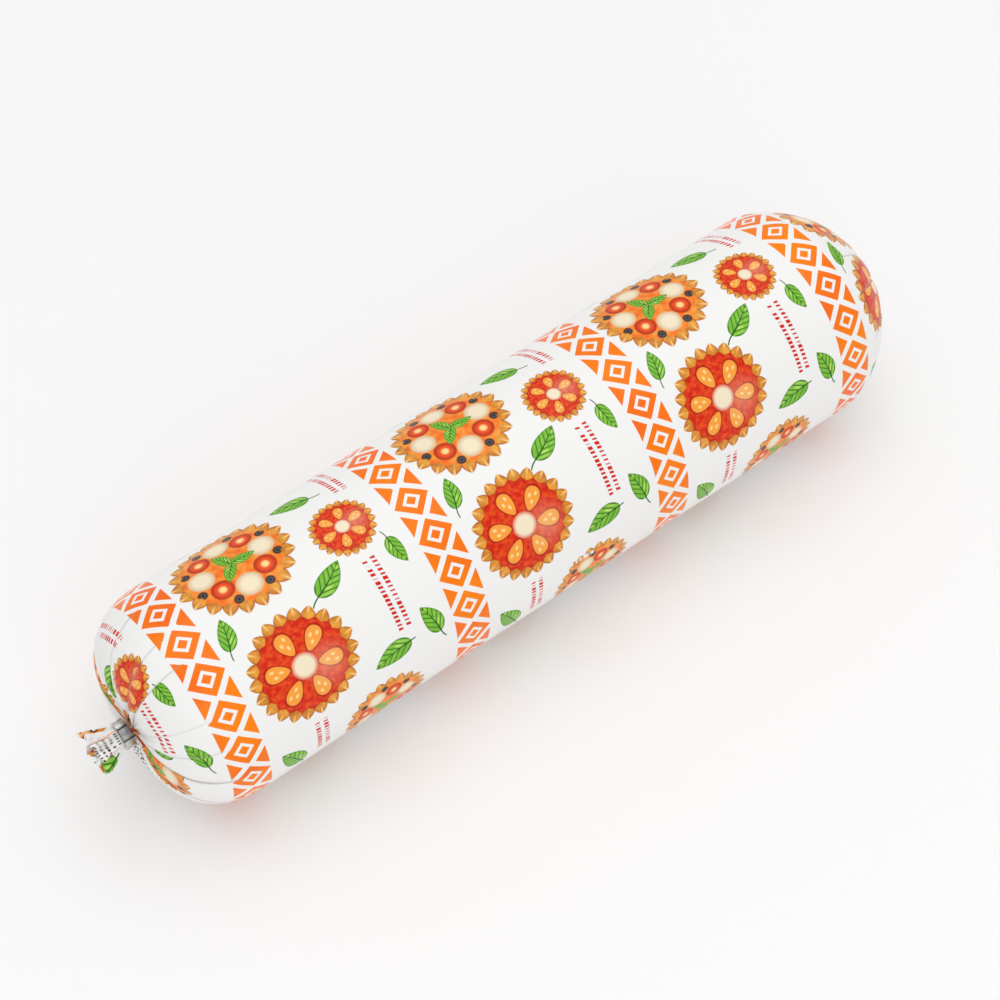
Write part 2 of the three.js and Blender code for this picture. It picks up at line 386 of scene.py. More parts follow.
def make_casing():
    profile = film_profile()
    casing = spin_film("film_casing", profile, FILM_STEPS)
    places = places_of(casing)
    x = places[:, 0].copy()
    radius = np.hypot(places[:, 1], places[:, 2])
    angle = np.arctan2(places[:, 2], -places[:, 1])  # from the camera's side, upwards
    along = film_lengths(profile)[nearest_on(profile, x, radius)]
    lay_print(casing, x, radius, angle, along)

    painted_fold_shade = np.zeros(len(x))
    slack = np.zeros(len(x))
    drawn = np.zeros((len(x), 3))
    swirl = np.zeros(len(x))
    for end in (FRONT, BACK):
        side = (x - end["shoulder_x"]) * end["sign"] > -END_OVERLAP
        narrow = 1 - radius / radius_at(end["shoulder_x"])
        shade = crease_end(casing, end, side, angle, radius, narrow)
        painted_fold_shade = np.maximum(painted_fold_shade, side * shade)
        slack += side * smooth(*SLACK_GROWS, narrow)
        share = side * (1 - smooth(NECK_RADIUS, DRAWN_RADIUS, radius))
        drawn += share[:, None] * np.array([0, end["side"], -end["sag"]])
        wave = sum(most * np.sin(waves * angle + phases * end["phase"])
                   for most, waves, phases in SWIRLS)
        swirl += side * wave * np.clip(narrow, 0, 1) ** SWIRL_GROWTH
    waves = clouds("slack_film", SLACK_WAVE, 1)
    press(casing, "slack_film", np.ones(len(x)), SLACK_DEPTH, waves)
    # the shade to paint into the film's colour in the creases and the gathers' valleys
    mark(casing, "painted_fold_shade", painted_fold_shade)
    mark(casing, "slack", slack)

    places = places_of(casing)
    turned = (-places[:, 1] + 1j * places[:, 2]) * np.exp(1j * swirl)
    places[:, 1] = -turned.real
    places[:, 2] = turned.imag + axis_height(places[:, 0])
    set_places(casing, places + drawn)
    press_flat(casing)
    return casing


def press_flat(casing):
    """The underside is pressed flat where the loaf rests."""
    edit(casing)
    mesh = bmesh.from_edit_mesh(casing.data)
    for vertex in mesh.verts:
        vertex.select = vertex.co.z < 0
    mesh.select_flush_mode()
    bmesh.update_edit_mesh(casing.data)
    bpy.ops.transform.resize(value=(1, 1, 0), center_override=(0, 0, 0))
    done()


# ---------------------------------------------------------------- the tails
TAIL_FOLDS = 9
TAIL_SIDES = 4 * TAIL_FOLDS  # crest, flank, valley, flank
TAIL_RINGS = 6
TAIL_ROOT = NECK_RADIUS * 0.85  # a tail's radius inside its clip
TAIL_INSIDE = 0.3 * CLIP_WIDTH  # a tail starts inside its clip, this far from the middle
TAIL_CREST = (0.86, 1.04)  # how far out the crests and the valleys stand, as shares
TAIL_VALLEY = (0.3, 0.55)
FLANK_SPREAD = 0.06
FOLDS_FULL = 0.5  # the folds are at their deepest from this share of the tail on
TAIL_LEAN = 0.22  # radians that a fold leans to one side
TAIL_SHORTEST = 0.76  # the shortest side of the open end, as a share of the tail
TAIL_BEND = 1.5  # above 1 the tail hangs down more and more towards its end
TAIL_CREASE = 0.55  # how sharp the crests and the valleys stay when the folds are rounded
TAIL_WALL = 0.16 * MM
TAIL_PANEL = 7 * MM  # the print that shows between a crest and a valley at the open end
TAIL_PANEL_START = 0.3  # and the share of it that shows at the clip
TAIL_PRINT = 63 * MM  # where the tail's print begins, past the clip
# Crumpled film: the depth and size of the crumples, and where along the tail they grow
CRUMPLES = (
    ("crumple", 1.6 * MM, 3.2 * MM, (0.1, 0.8)),
    ("crinkle", 0.5 * MM, 1.2 * MM, (0.1, 0.6)),
)


def neck_place(end):
    """(y, z) of a neck, off the loaf's axis."""
    return end["side"], float(axis_height(end["shoulder_x"])) - end["sag"]


def turn_with_clip(end):
    """Turns what is selected as the clip is turned."""
    y, z = neck_place(end)
    bpy.ops.transform.rotate(value=-CLIP_TURN, orient_axis="X", center_override=(0, y, z))


def fold_tail(tail, end, root, length):
    """Crests and valleys that deepen to an uneven open end."""
    rng = np.random.default_rng(end["seed"])
    kind = np.arange(TAIL_SIDES) % 4
    crest = rng.uniform(*TAIL_CREST, TAIL_SIDES)
    valley = rng.uniform(*TAIL_VALLEY, TAIL_SIDES)
    inward = np.where(kind == 0, crest, valley)
    flank = kind % 2 == 1
    between = (np.roll(inward, 1) + np.roll(inward, -1))[flank] / 2
    inward[flank] = between + rng.uniform(-FLANK_SPREAD, FLANK_SPREAD, flank.sum())
    lean = rng.uniform(-TAIL_LEAN, TAIL_LEAN, TAIL_SIDES)
    short = rng.uniform(TAIL_SHORTEST, 1.0, TAIL_SIDES)
    short[0] = 1
    y, z = neck_place(end)
    places = places_of(tail).reshape(TAIL_RINGS + 1, TAIL_SIDES, 3)
    for k, ring in enumerate(places):
        out = k / TAIL_RINGS
        offset = (ring[:, 1] - y) + 1j * (ring[:, 2] - z)
        offset *= (1 + (inward - 1) * smooth(0.0, FOLDS_FULL, out)) * np.exp(1j * lean * out)
        wide = 1 + (NECK_OVAL[0] - 1) * (1 - out)
        flat = NECK_OVAL[1] + (end["flat"] - NECK_OVAL[1]) * out
        ring[:, 1] = y + offset.real * wide
        ring[:, 2] = z + offset.imag * flat
        ring[:, 0] = root + end["sign"] * length * out * (1 + (short - 1) * out)
    set_places(tail, places.reshape(-1, 3))


def spread_tail(name, end, root, length):
    """A round fan of film: a ring inside the clip, extruded to a wide open end."""
    y, z = neck_place(end)
    bpy.ops.object.select_all(action="DESELECT")
    bpy.ops.mesh.primitive_circle_add(vertices=TAIL_SIDES, radius=TAIL_ROOT)
    tail = bpy.context.object
    tail.name = tail.data.name = name
    bpy.ops.object.mode_set(mode="EDIT")
    bpy.ops.mesh.select_all(action="SELECT")
    bpy.ops.transform.rotate(value=math.pi / 2, orient_axis="Y", center_override=(0, 0, 0))
    bpy.ops.transform.translate(value=(root, y, z))
    spread = np.linspace(TAIL_ROOT, end["flare"], TAIL_RINGS + 1)
    there = end["sign"] * length / TAIL_RINGS
    for k, grow in enumerate(spread[1:] / spread[:-1], start=1):
        bpy.ops.mesh.extrude_edges_move(TRANSFORM_OT_translate={"value": (there, 0, 0)})
        bpy.ops.transform.resize(value=(1, grow, grow), center_override=(root + k * there, y, z))
    done()
    return tail


def print_tail(tail, end, film_end, length):
    """The film's own coordinates: a strip of the print shows between two folds."""
    mesh = tail.data
    layer = mesh.uv_layers.new(name="film")
    for face in mesh.polygons:
        numbers = [mesh.loops[i].vertex_index % TAIL_SIDES for i in face.loop_indices]
        wraps = max(numbers) - min(numbers) > 1
        first = max(numbers) if wraps else min(numbers)
        for i, number in zip(face.loop_indices, numbers):
            out = mesh.loops[i].vertex_index // TAIL_SIDES / TAIL_RINGS
            step = first % 2 + (number != first)
            shown = TAIL_PANEL_START + (1 - TAIL_PANEL_START) * out
            across = first // 2 / (TAIL_SIDES / 2) * AROUND + step / 2 * TAIL_PANEL * shown
            layer.data[i].uv = (across, film_end + end["sign"] * (TAIL_PRINT + length * out))


def crease_tail(tail, end):
    """Keeps the crests and valleys fairly sharp, and turns the tail with its clip."""
    edit(tail)
    bpy.ops.mesh.select_all(action="DESELECT")
    bpy.ops.mesh.select_mode(type="EDGE")
    mesh = bmesh.from_edit_mesh(tail.data)
    for edge in mesh.edges:
        first, second = (vertex.index for vertex in edge.verts)
        edge.select = first % 2 == 0 and abs(first - second) == TAIL_SIDES
    bmesh.update_edit_mesh(tail.data)
    bpy.ops.transform.edge_crease(value=TAIL_CREASE)
    bpy.ops.mesh.select_mode(type="VERT")
    bpy.ops.mesh.select_all(action="SELECT")
    turn_with_clip(end)
    done()


def make_tail(name, end, film_end):
    """A flattened fan of folded and crumpled film beyond the clip."""
    root = end["x"] + end["sign"] * TAIL_INSIDE
    length = end["tail"] - TAIL_INSIDE
    tail = spread_tail(name, end, root, length)
    fold_tail(tail, end, root, length)
    print_tail(tail, end, film_end, length)
    crease_tail(tail, end)

    rounding = tail.modifiers.new("round", "SUBSURF")
    rounding.levels = rounding.render_levels = 3
    apply_modifiers(tail)
    places = places_of(tail)
    out = np.clip((places[:, 0] - root) * end["sign"] / length, 0, 1)
    places[:, 2] -= end["droop"] * out ** TAIL_BEND
    set_places(tail, places)
    for crumple, depth, size, grow in CRUMPLES:
        press(tail, crumple, smooth(*grow, out), depth, clouds(crumple, size))
    wall = tail.modifiers.new("wall", "SOLIDIFY")
    wall.thickness = TAIL_WALL
    wall.offset = 0
    apply_modifiers(tail)
    mark(tail, "slack", np.ones(len(tail.data.vertices)))
    return tail


# ---------------------------------------------------------------- the clips
CLIP_GROOVE = 0.6 * MM  # the groove on each side of the raised block, also painted dark as shade
GROOVE_SLOPE = 0.6  # how far its outer wall leans, as a share of its width
CLIP_PINCH = 0.6 * MM  # the depth of the nick below
PINCH_HALF_WIDTH = 0.3 * MM
CORNER_POINTS = 7
BORE_GAP = 0.2 * MM  # between the neck and the clip round it
CLIP_EDGE = 0.3 * MM
# Shade painted on the clip: a share of it on the raised block, standing in for its dark reflection,
# and all of it in the grooves
BLOCK_PAINTED_SHADE = 0.6
SHADE_RISE = 0.2 * MM  # the block's painted shade is full this far above the clip's top
GROOVE_SHADE_START = 0.3  # how far above the clip's middle, as a share of its height


def clip_outline():
    """(y, z) round a closed clip, with the raised block on top and the pinch below."""
    half, top, step = CLIP_SPAN / 2, CLIP_HEIGHT / 2, CLIP_STEP_SPAN / 2
    points = [(0, -top + CLIP_PINCH), (-PINCH_HALF_WIDTH, -top)]
    corners = [
        (-half + CLIP_CORNER, -top + CLIP_CORNER, 270, 180),
        (-half + CLIP_CORNER, top - CLIP_CORNER, 180, 90),
    ]
    for y, z, start, stop in corners:
        for turn in np.linspace(math.radians(start), math.radians(stop), CORNER_POINTS):
            points.append((y + CLIP_CORNER * math.cos(turn), z + CLIP_CORNER * math.sin(turn)))
    points.append((-step - CLIP_GROOVE, top))
    points.append((-step - CLIP_GROOVE * GROOVE_SLOPE, top - CLIP_GROOVE))
    points.append((-step, top - CLIP_GROOVE))
    points.append((-step, top + CLIP_STEP))
    points += [(-y, z) for y, z in reversed(points[1:])]
    return points


def bore_clip(clip, end):
    """Cuts the oval hole for the neck, and rounds the clip's edges."""
    y, z = neck_place(end)
    middle = (end["x"], y, z)
    bpy.ops.object.select_all(action="DESELECT")
    bpy.ops.mesh.primitive_cylinder_add(
        vertices=48, radius=NECK_RADIUS + BORE_GAP, depth=3 * CLIP_WIDTH,
        location=middle, rotation=(0, math.pi / 2, 0),
    )
    bpy.ops.object.transform_apply(location=True, rotation=True, scale=True)
    bore = bpy.context.object
    edit(bore)
    bpy.ops.mesh.select_all(action="SELECT")
    bpy.ops.transform.resize(value=(1, *NECK_OVAL), center_override=middle)
    turn_with_clip(end)
    done()
    cut = clip.modifiers.new("bore", "BOOLEAN")
    cut.object = bore
    cut.solver = "EXACT"
    edges = clip.modifiers.new("edges", "BEVEL")
    edges.width = CLIP_EDGE
    edges.segments = 3
    edges.limit_method = "ANGLE"
    edges.angle_limit = math.radians(35)
    apply_modifiers(clip)
    bpy.data.objects.remove(bore)


def shade_clip(clip, end):
    """Marks where shade is painted on the clip: partly on the raised block, for its dark reflection,
    and fully in its grooves.
    """
    y, z = neck_place(end)
    places = places_of(clip)
    cos, sin = math.cos(CLIP_TURN), math.sin(CLIP_TURN)
    height = (places[:, 2] - z) * cos - (places[:, 1] - y) * sin
    across = (places[:, 2] - z) * sin + (places[:, 1] - y) * cos
    block_foot = CLIP_HEIGHT / 2 + SHADE_RISE
    block = smooth(CLIP_HEIGHT / 2 - CLIP_GROOVE, block_foot, height)
    beside = np.abs(np.abs(across) - CLIP_STEP_SPAN / 2 - CLIP_GROOVE / 2) < CLIP_GROOVE
    grooves = beside & (height < block_foot) & (height > GROOVE_SHADE_START * CLIP_HEIGHT)
    mark(clip, "painted_clip_shade", np.maximum(BLOCK_PAINTED_SHADE * block, 1.0 * grooves))


def make_clip(name, end):
    y, z = neck_place(end)
    left = end["x"] - CLIP_WIDTH / 2
    clip = draw_line(name, [(left, y + side, z + up) for side, up in clip_outline()])
    bpy.ops.mesh.edge_face_add()
    bpy.ops.mesh.extrude_region_move(TRANSFORM_OT_translate={"value": (CLIP_WIDTH, 0, 0)})
    bpy.ops.mesh.select_all(action="SELECT")
    bpy.ops.mesh.normals_make_consistent(inside=False)
    turn_with_clip(end)
    done()
    bore_clip(clip, end)
    only(clip)
    bpy.ops.object.shade_smooth_by_angle(angle=math.radians(40))
    shade_clip(clip, end)
    return clip


# ---------------------------------------------------------------- materials
class Net:
    """Short calls for the nodes of one shader tree."""

    def __init__(self, tree):
        self.tree = tree

    def node(self, kind, inputs=None, **settings):
        node = self.tree.nodes.new("ShaderNode" + kind)
        for key, value in settings.items():
            setattr(node, key, value)
        for key, value in (inputs or {}).items():
            self.put(value, node.inputs[key])
        return node

    def put(self, value, socket):
        if isinstance(value, bpy.types.NodeSocket):
            self.tree.links.new(value, socket)
        else:
            socket.default_value = value

    def math(self, operation, *values):
        return self.node("Math", dict(enumerate(values)), operation=operation).outputs[0]

    def vector(self, operation, *values):
        return self.node("VectorMath", dict(enumerate(values)), operation=operation).outputs[0]

    def add(self, a, b):
        return self.math("ADD", a, b)

    def minus(self, a, b):
        return self.math("SUBTRACT", a, b)

    def times(self, a, b):
        return self.math("MULTIPLY", a, b)

    def over(self, a, b):
        return self.math("DIVIDE", a, b)

    def power(self, a, b):
        return self.math("POWER", a, b)

    def size(self, value):
        return self.math("ABSOLUTE", value)

    def floor(self, value):
        return self.math("FLOOR", value)

    def wrap(self, value, half):
        """The value within -half to half, repeated."""
        return self.math("WRAP", value, half, -half)

    def split(self, vector):
        return self.node("SeparateXYZ", {0: vector}).outputs[:2]

    def join(self, x, y):
        return self.node("CombineXYZ", {0: x, 1: y}).outputs[0]

    def length(self, vector):
        return self.node("VectorMath", {0: vector}, operation="LENGTH").outputs["Value"]

    def angle(self, x, y):
        return self.math("ARCTAN2", y, x)

    def along_ray(self, distance, turn):
        """(x, y) of a place at that distance, turned by that angle."""
        x = self.times(distance, self.math("COSINE", turn))
        return x, self.times(distance, self.math("SINE", turn))

    def below(self, value, limit, edge=0.01):
        """1 where the value is under the limit, with a thin soft edge."""
        return self.ramp(value, self.add(limit, edge), self.add(limit, -edge))

    def ramp(self, value, start, stop, low=0.0, high=1.0):
        """From low at the start to high at the stop, and level outside them."""
        return self.node("MapRange", {0: value, 1: start, 2: stop, 3: low, 4: high}).outputs[0]

    def both(self, *masks):
        result = masks[0]
        for mask in masks[1:]:
            result = self.times(result, mask)
        return result

    def either(self, *masks):
        result = masks[0]
        for mask in masks[1:]:
            result = self.math("MAXIMUM", result, mask)
        return result

    def mix(self, share, under, over):
        node = self.node("Mix", {"Factor": share}, data_type="RGBA")
        self.put(under, node.inputs[6])
        self.put(over, node.inputs[7])
        return node.outputs[2]

    def pick(self, share, first, second):
        """One of two places."""
        node = self.node("Mix", {"Factor": share}, data_type="VECTOR")
        self.put(first, node.inputs[4])
        self.put(second, node.inputs[5])
        return node.outputs[1]

    def noise(self, vector, scale, detail=2.0):
        node = self.node("TexNoise", {"Vector": vector, "Scale": scale, "Detail": detail})
        return node.outputs["Fac"]


def new_material(name):
    material = bpy.data.materials.new(name)
    material.use_nodes = True
    return material, Net(material.node_tree), material.node_tree.nodes["Principled BSDF"]


def new_motif(name):
    """A group that gives a motif's colour and mask at a place, measured from its middle."""
    tree = bpy.data.node_groups.new(name, "ShaderNodeTree")
    tree.interface.new_socket(name="Place", in_out="INPUT", socket_type="NodeSocketVector")
    tree.interface.new_socket(name="Color", in_out="OUTPUT", socket_type="NodeSocketColor")
    tree.interface.new_socket(name="Mask", in_out="OUTPUT", socket_type="NodeSocketFloat")
    place = tree.nodes.new("NodeGroupInput").outputs["Place"]
    return Net(tree), place, tree.nodes.new("NodeGroupOutput").inputs


# Inks, as linear colours
WHITE_FILM = (0.9, 0.895, 0.885, 1)
# the colour of the shade painted in the creases and the gathers' valleys
PAINTED_FOLD_SHADE = (0.4, 0.31, 0.24, 1)
ORANGE = (1.0, 0.235, 0.0, 1)
DEEP_ORANGE = (0.94, 0.15, 0.01, 1)
RED = (0.66, 0.016, 0.004, 1)
DARK_RED = (0.38, 0.008, 0.004, 1)
FLESH = (0.85, 0.085, 0.012, 1)
GEL = (0.96, 0.36, 0.05, 1)
SEED = (1.0, 0.72, 0.28, 1)
CREAM = (0.92, 0.8, 0.58, 1)
CREAM_SHADE = (0.72, 0.52, 0.3, 1)
GOLD = (0.87, 0.38, 0.045, 1)
BROWN = (0.42, 0.1, 0.012, 1)
LEAF = (0.17, 0.48, 0.03, 1)
LEAF_LIGHT = (0.52, 0.8, 0.15, 1)
LEAF_DARK = (0.014, 0.12, 0.012, 1)
OLIVE = (0.02, 0.018, 0.02, 1)
OLIVE_LIGHT = (0.09, 0.085, 0.085, 1)
GREY = (0.03, 0.03, 0.033, 1)


# A leaf, in half lengths
LEAF_BOW = 0.08
LEAF_HALF_WIDTH = 0.5
BLUNT_BASE = 0.55  # the powers that its width grows and shrinks by
SLENDER_TIP = 0.9
VEINS = 2.6  # in each half length
VEIN_SLANT = 3.4
STEM_START = 0.93
STEM_END = 1.55
STEM_CURL = 0.5
STEM_HALF_WIDTH = 0.035


def leaf_group():
    """A leaf from its stem at x = -1 to its tip at x = 1."""
    net, place, result = new_motif("leaf")
    x, y = net.split(place)
    y = net.add(y, net.times(net.times(x, x), LEAF_BOW))
    across = net.size(y)
    base = net.power(net.math("MAXIMUM", net.add(x, 1.0), 0.0), BLUNT_BASE)
    tip = net.power(net.math("MAXIMUM", net.minus(1.0, x), 0.0), SLENDER_TIP)
    inside = net.minus(net.times(net.times(base, tip), LEAF_HALF_WIDTH), across)
    blade = net.ramp(inside, 0.0, 0.02)
    # slanting veins, and light blotches between them, more on the upper half
    slant = net.minus(net.times(x, VEINS), net.times(across, VEIN_SLANT))
    from_vein = net.size(net.wrap(slant, 0.5))
    color = net.mix(net.ramp(from_vein, 0.02, 0.16), LEAF_DARK, LEAF)
    upper = net.ramp(net.ramp(y, -0.05, 0.05), 0, 1, 0.25, 0.9)
    blotch = net.ramp(net.noise(place, 2.2, 2.0), 0.38, 0.62)
    between = net.both(net.ramp(from_vein, 0.1, 0.4), net.ramp(inside, 0.04, 0.2))
    color = net.mix(net.both(between, upper, blotch), color, LEAF_LIGHT)
    # a dark rim, midrib and curled stem
    color = net.mix(net.ramp(inside, 0.07, 0.0, 0.0, 0.75), color, LEAF_DARK)
    rib = net.below(across, net.ramp(x, -1.0, 1.0, 0.05, 0.008))
    color = net.mix(rib, color, LEAF_DARK)
    curl = net.times(net.power(net.size(net.add(x, 1.0)), 2.0), STEM_CURL)
    stem = net.below(net.size(net.minus(y, curl)), STEM_HALF_WIDTH)
    stem = net.both(stem, net.below(x, -STEM_START), net.below(net.times(x, -1.0), STEM_END))
    net.put(net.mix(stem, color, LEAF_DARK), result["Color"])
    net.put(net.either(blade, stem), result["Mask"])
    return net.tree


# A wreath of radius 1, and the two roundels within it
PETALS = 22
CLEFT_RADIUS = 0.85
PETAL_LENGTH = 0.145
PETAL_ROUNDNESS = 0.65
WREATH_INSIDE = (0.82, 0.76)  # its inner edge at the clefts and at the petals' middles
CHAMBERS = 6
CHAMBER_RADIUS = 0.47  # from the slice's middle to a chamber's
CHAMBER_HALF_LENGTH = 0.22
CHAMBER_HALF_WIDTH = 0.135
CHAMBER_FLARE = 0.22
SEED_PLACES = ((0.1, 0.05), (0.04, -0.05), (-0.06, 0.015))  # from a chamber's middle
SEED_HALF_WIDTH = 0.024
SEED_SHAPE = 0.62  # its width, as a share of its length
CORE_RADIUS = 0.2
GLOW_PLACE = (-0.28, 0.3, 0)
ROUNDS = 4  # of each kind
ROUNDS_RADIUS = 0.53  # from the rosette's middle to theirs
PALE_ROUND = 0.21  # and their own
RED_ROUND = 0.18
SEED_ROUND = 0.06
OLIVES = 8  # the dark rings
OLIVES_RADIUS = 0.72
OLIVE_RADIUS = 0.078
SPRIG_LEAVES = 3
SPRIG_RADIUS = 0.2
SPRIG_TURN = 0.4
SPRIG_SIZE = 5.0  # the wreath's radius, in half lengths of a leaf


def wreath(net, place, color):
    """A wreath of golden petals round a roundel of that colour: the colour and the mask."""
    distance = net.length(place)
    petal = net.wrap(net.angle(*net.split(place)), math.pi / PETALS)
    middle = net.ramp(net.size(petal), math.pi / PETALS, 0.0)
    mottle = net.noise(place, 5.0, 3.0)
    gold = net.mix(net.ramp(mottle, 0.38, 0.7, 0.0, 0.8), GOLD, BROWN)
    gold = net.mix(net.ramp(middle, 0.3, 0.0, 0.0, 0.85), gold, BROWN)
    edge = net.add(CLEFT_RADIUS, net.times(net.power(middle, PETAL_ROUNDNESS), PETAL_LENGTH))
    gold = net.mix(net.ramp(distance, net.add(edge, -0.07), edge, 0.0, 0.75), gold, BROWN)
    shine = net.both(net.ramp(middle, 0.8, 1.0), net.ramp(distance, 0.8, 0.95))
    gold = net.mix(shine, gold, SEED)
    inner = net.ramp(middle, 0.0, 1.0, *WREATH_INSIDE)
    return net.mix(net.below(inner, distance), color, gold), net.below(distance, edge)


def finish_roundel(net, place, color, result):
    color, mask = wreath(net, place, color)
    net.put(color, result["Color"])
    net.put(mask, result["Mask"])
    return net.tree


def slice_group():
    """A round tomato slice in a wreath of radius 1."""
    net, place, result = new_motif("tomato_slice")
    distance = net.length(place)
    turn = net.wrap(net.angle(*net.split(place)), math.pi / CHAMBERS)
    grain = net.noise(place, 9.0, 3.0)
    color = net.mix(net.ramp(grain, 0.4, 0.65), RED, FLESH)
    color = net.mix(net.ramp(distance, 0.72, 0.86), color, DARK_RED)
    # chambers of gel that widen outwards, with a dark edge and seeds
    x, y = net.along_ray(distance, turn)
    x = net.add(x, -CHAMBER_RADIUS)
    half_width = net.add(CHAMBER_HALF_WIDTH, net.times(x, CHAMBER_FLARE))
    chamber = net.length(net.join(net.over(x, CHAMBER_HALF_LENGTH), net.over(y, half_width)))
    color = net.mix(net.below(chamber, 1.0, 0.06), color, GEL)
    rim = net.both(net.below(chamber, 1.12, 0.05), net.below(0.98, chamber, 0.05))
    color = net.mix(rim, color, DARK_RED)
    for seed_x, seed_y in SEED_PLACES:
        along = net.times(net.add(x, -seed_x), SEED_SHAPE)
        seed = net.length(net.join(along, net.add(y, -seed_y)))
        color = net.mix(net.below(seed, SEED_HALF_WIDTH, 0.008), color, SEED)
    color = net.mix(net.below(distance, CORE_RADIUS, 0.04), color, CREAM)
    glow = net.length(net.vector("SUBTRACT", place, GLOW_PLACE))
    color = net.mix(net.ramp(glow, 0.5, 0.0, 0.0, 0.22), color, CREAM)
    return finish_roundel(net, place, color, result)


def rosette_group(leaf):
    """Pale and red rounds by turns, dark rings and three leaves, in a wreath of radius 1."""
    net, place, result = new_motif("rosette")
    distance = net.length(place)
    angle = net.angle(*net.split(place))
    grain = net.noise(place, 7.0, 3.0)
    color = net.mix(net.ramp(grain, 0.36, 0.64), DEEP_ORANGE, GEL)

    def around(count, radius, shift=0.0):
        """The place, from the nearest of so many places round the middle."""
        x, y = net.along_ray(distance, net.wrap(net.add(angle, shift), math.pi / count))
        return net.join(net.add(x, -radius), y)

    half_step = math.pi / ROUNDS
    kinds = ((0.0, CREAM_SHADE, CREAM, PALE_ROUND), (half_step, DARK_RED, FLESH, RED_ROUND))
    for shift, rim, heart, radius in kinds:
        disc = net.length(around(ROUNDS, ROUNDS_RADIUS, shift))
        shade = net.mix(net.ramp(disc, radius, 0.55 * radius), rim, heart)
        color = net.mix(net.below(disc, radius, 0.015), color, shade)
    seeds = net.length(around(ROUNDS, ROUNDS_RADIUS, half_step))
    color = net.mix(net.below(seeds, SEED_ROUND, 0.02), color, SEED)
    ring = net.length(around(OLIVES, OLIVES_RADIUS, math.pi / OLIVES))
    color = net.mix(net.below(ring, OLIVE_RADIUS, 0.012), color, OLIVE)
    color = net.mix(net.both(net.below(ring, 0.05), net.below(0.026, ring)), color, OLIVE_LIGHT)
    sprig = net.node("Group", node_tree=leaf)
    leaf_place = around(SPRIG_LEAVES, SPRIG_RADIUS, SPRIG_TURN)
    leaf_place = net.vector("MULTIPLY", leaf_place, (SPRIG_SIZE, SPRIG_SIZE, 0))
    net.put(leaf_place, sprig.inputs["Place"])
    color = net.mix(sprig.outputs["Mask"], color, sprig.outputs["Color"])
    return finish_roundel(net, place, color, result)


# The print in one repeat, in millimetres: across the film from the camera's side upwards,
# and along it from the start of the ornamental band. A motif is given by its middle, how far
# it is turned in degrees, and its radius or half its length.
PER_METRE = 1000  # millimetres
REPEAT_HALF_WIDTH = AROUND * PER_METRE / 4
REPEAT_HALF_LENGTH = PRINT_PERIOD * PER_METRE / 2
SLICES = ((32, 40, 15, 22), (69, 80, 40, 13))
ROSETTES = ((-12, 66, 25, 18.5), (-60, 40, 0, 24))
LEAVES = (
    (-6, 25, 30, 8.5), (54, 64, -60, 8), (16, 72, 100, 8.5), (20, 91, 20, 7.5),
    (50, 91, 190, 6), (-48, 72, 70, 8), (-26, 29, 75, 8), (57, 22, -15, 6.5),
)
# The ornamental band of open lozenges, nine round half of the casing
BAND_WIDTH = 15.2
CASING_HALF_GIRTH = 141.37
BAND_CELL = CASING_HALF_GIRTH / 9
LOZENGE_HALF = 7.1
LOZENGE_OPENING = 0.53  # as shares of a lozenge
LOZENGE_HEART = 0.3
WEDGE_HALF = 5.4  # the triangles between the lozenges
WEDGE_HEIGHT = 5.6
WEDGE_SIZE = 0.9
# Pairs of rows of red dashes: their middle and half their length
DASH_ROWS = ((38, 80, 15), (-44, 90, 14), (-2, 38, 9))
DASH_PITCH = 1.8
DASH_HALF = 0.95  # half a dash's height
DASH_WIDTHS = (0.16, 0.42)  # half a dash's width, as shares of the pitch
DASHES_LEFT_OUT = 0.1  # as a share
DASH_LEAN = 0.22
ROW_SHIFT = 0.7  # each row starts this much further along
ROW_DRAWS = 40  # each row starts this much further in the random draws
ROWS_APART = 3.5
# The plain panel on the underside: its middle and half its sizes
PANEL = (-73, 57, 27, 32)
PANEL_CORNER = 3
PANEL_MARGIN = 2
PANEL_LINE = 0.5
PANEL_ROW = 2.6
PANEL_PITCH = 1.5
PANEL_DASH_HALF = 0.6


def placed(net, film, u, v, turn=0, size=1, half_width=REPEAT_HALF_WIDTH):
    """The film's place, from a motif's middle and in the motif's own measure."""
    place = net.vector("SUBTRACT", film, (u, v, 0))
    high = (half_width, REPEAT_HALF_LENGTH, 1)
    low = (-half_width, -REPEAT_HALF_LENGTH, -1)
    place = net.vector("WRAP", place, high, low)
    if turn:
        turned = net.node("VectorRotate", {"Vector": place}, rotation_type="Z_AXIS")
        turned.inputs["Angle"].default_value = math.radians(turn)
        place = turned.outputs[0]
    return net.vector("MULTIPLY", place, (1 / size, 1 / size, 0))


def in_nearest(net, film, motifs):
    """The place within the nearest of the motifs, in that motif's own measure."""
    found, least = (9, 9, 0), 9.0
    for motif in motifs:
        place = placed(net, film, *motif)
        distance = net.length(place)
        found = net.pick(net.math("LESS_THAN", distance, least), found, place)
        least = net.math("MINIMUM", distance, least)
    return found


def dashes(net, x, y, row, pitch, half_height):
    """Dashes of uneven width along x, leaning a little, with a gap here and there."""
    leaning = net.add(net.add(x, net.times(y, DASH_LEAN)), net.times(row, ROW_SHIFT))
    number = net.add(net.floor(net.over(leaning, pitch)), net.times(row, ROW_DRAWS))
    drawn = net.node("TexWhiteNoise", {"W": number}, noise_dimensions="1D").outputs["Value"]
    from_middle = net.size(net.wrap(net.add(leaning, -pitch / 2), pitch / 2))
    narrow, wide = DASH_WIDTHS
    half_width = net.ramp(drawn, DASHES_LEFT_OUT, 1.0, narrow * pitch, wide * pitch)
    high = net.below(net.size(y), half_height, 0.1)
    return net.both(high, net.below(from_middle, half_width, 0.1), net.below(DASHES_LEFT_OUT, drawn))


